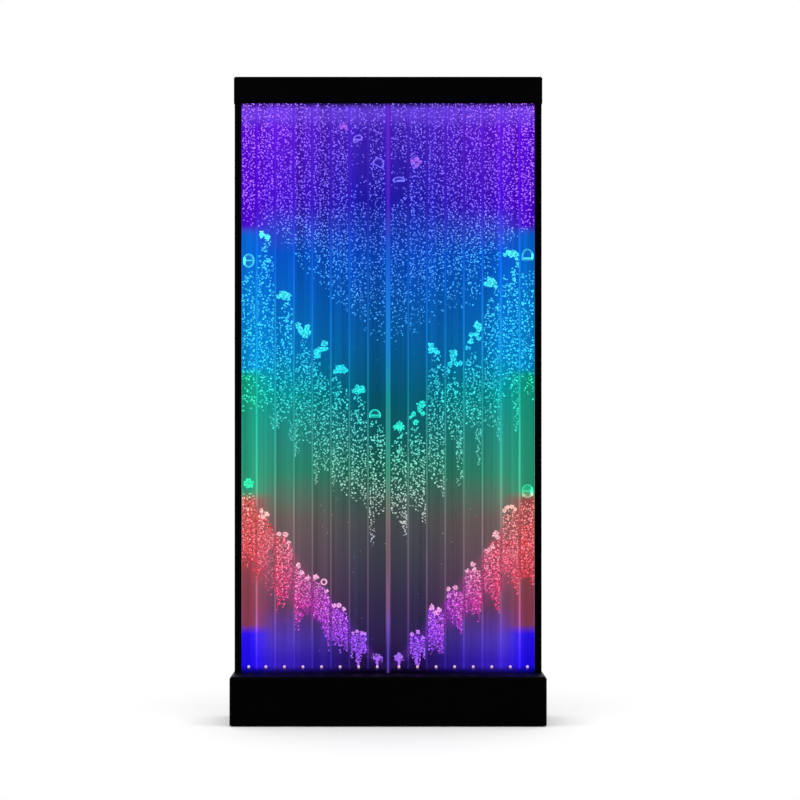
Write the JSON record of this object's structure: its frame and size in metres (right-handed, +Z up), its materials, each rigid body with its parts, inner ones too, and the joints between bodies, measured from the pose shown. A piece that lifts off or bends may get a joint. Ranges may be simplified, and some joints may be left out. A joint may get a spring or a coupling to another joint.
{
  "type": "led bubble wall",
  "caption": "Tall free-standing bubble wall: twin clear water tanks of upright channels in a slim black frame, lit from both sides, on a flat base with air pumps inside.",
  "frame": {"origin": "on the floor, under the middle of the base", "axes": "+Z up, the lit front faces -Y, +X to the right as seen from the front"},
  "size_m": [0.89, 0.25, 1.84],
  "materials": {
    "cabinet_black": "fine-textured black powder coat",
    "post_black": "black anodised",
    "bare_steel": "zinc plated",
    "black_screw": "black oxide",
    "rubber_black": "matte rubber",
    "acrylic_clear": "polished clear acrylic",
    "acrylic_smoked": "dark acrylic",
    "water": "water, lit from the sides",
    "led_board_white": "white circuit board",
    "led_chip": "lit chip",
    "diffuser_frosted": "frosted",
    "nozzle_clear": "pale clear plastic, lit",
    "silicone": "translucent silicone tube",
    "valve_black": "moulded",
    "rail_aluminium": "milled",
    "pump_grey": "moulded",
    "drain_plastic": "white moulded fitting",
    "valve_brass": "nickel-free cast",
    "lever_red": "dipped lever",
    "inlet_black": "moulded",
    "board_green": "circuit board",
    "board_black": "moulded components",
    "supply_steel": "folded case",
    "lead_black": "insulated lead"
  },
  "bodies": {
    "wall": {"base_cabinet": "cabinet_black", "base_floor": "cabinet_black", "foot_pads": "rubber_black", "foot_screws": "bare_steel", "rear_panel": "cabinet_black", "rear_panel_screws": "black_screw", "left_post": "post_black", "right_post": "post_black", "post_brackets": "bare_steel", "post_bolts": "bare_steel", "header_rails": "bare_steel", "header_screws": "black_screw", "post_gaskets": "rubber_black", "left_led_strip": "led_board_white", "right_led_strip": "led_board_white", "left_led_chips": "led_chip", "right_led_chips": "led_chip", "led_diffusers": "diffuser_frosted", "left_front_sheet": "acrylic_clear", "right_front_sheet": "acrylic_clear", "left_back_sheet": "acrylic_smoked", "right_back_sheet": "acrylic_smoked", "left_ribs": "acrylic_clear", "right_ribs": "acrylic_clear", "left_end_walls": "acrylic_clear", "right_end_walls": "acrylic_clear", "left_nozzle_bar": "valve_black", "right_nozzle_bar": "valve_black", "seam_strip": "acrylic_clear", "left_nozzles": "nozzle_clear", "right_nozzles": "nozzle_clear", "nozzle_seals": "rubber_black", "left_water": "water", "right_water": "water", "tank_sill": "bare_steel", "sill_pad": "rubber_black", "sill_legs": "bare_steel", "air_rails": "rail_aluminium", "rail_brackets": "bare_steel", "left_valves": "valve_black", "right_valves": "valve_black", "left_air_lines": "silicone", "right_air_lines": "silicone", "left_pump": "pump_grey", "right_pump": "pump_grey", "pump_feet": "rubber_black", "pump_hoses": "silicone", "drain_fittings": "drain_plastic", "drain_hoses": "silicone", "drain_valve": "valve_brass", "power_inlet": "inlet_black", "switch_housing": "inlet_black", "power_supply": "supply_steel", "controller_board": "board_green", "board_standoffs": "bare_steel", "board_parts": "board_black", "inner_leads": "lead_black"},
    "cap": {"top_cap": "cabinet_black"},
    "rocker": {"switch_rocker": "inlet_black"},
    "lever": {"drain_lever": "lever_red"}
  },
  "joints": [
    {"name": "cap_lift", "type": "slide", "parent": "wall", "child": "cap", "axis": [0, 0, 1], "range_m": [0, 0.09]},
    {"name": "switch_rock", "type": "hinge", "parent": "wall", "child": "rocker", "pos_m": [0.2169, 0.0975, 0.072], "axis": [1, 0, 0], "range_deg": [-16, 0]},
    {"name": "drain_lever_turn", "type": "hinge", "parent": "wall", "child": "lever", "pos_m": [0, 0.107, 0.0428], "axis": [0, 0, 1], "range_deg": [0, 90]}
  ]
}
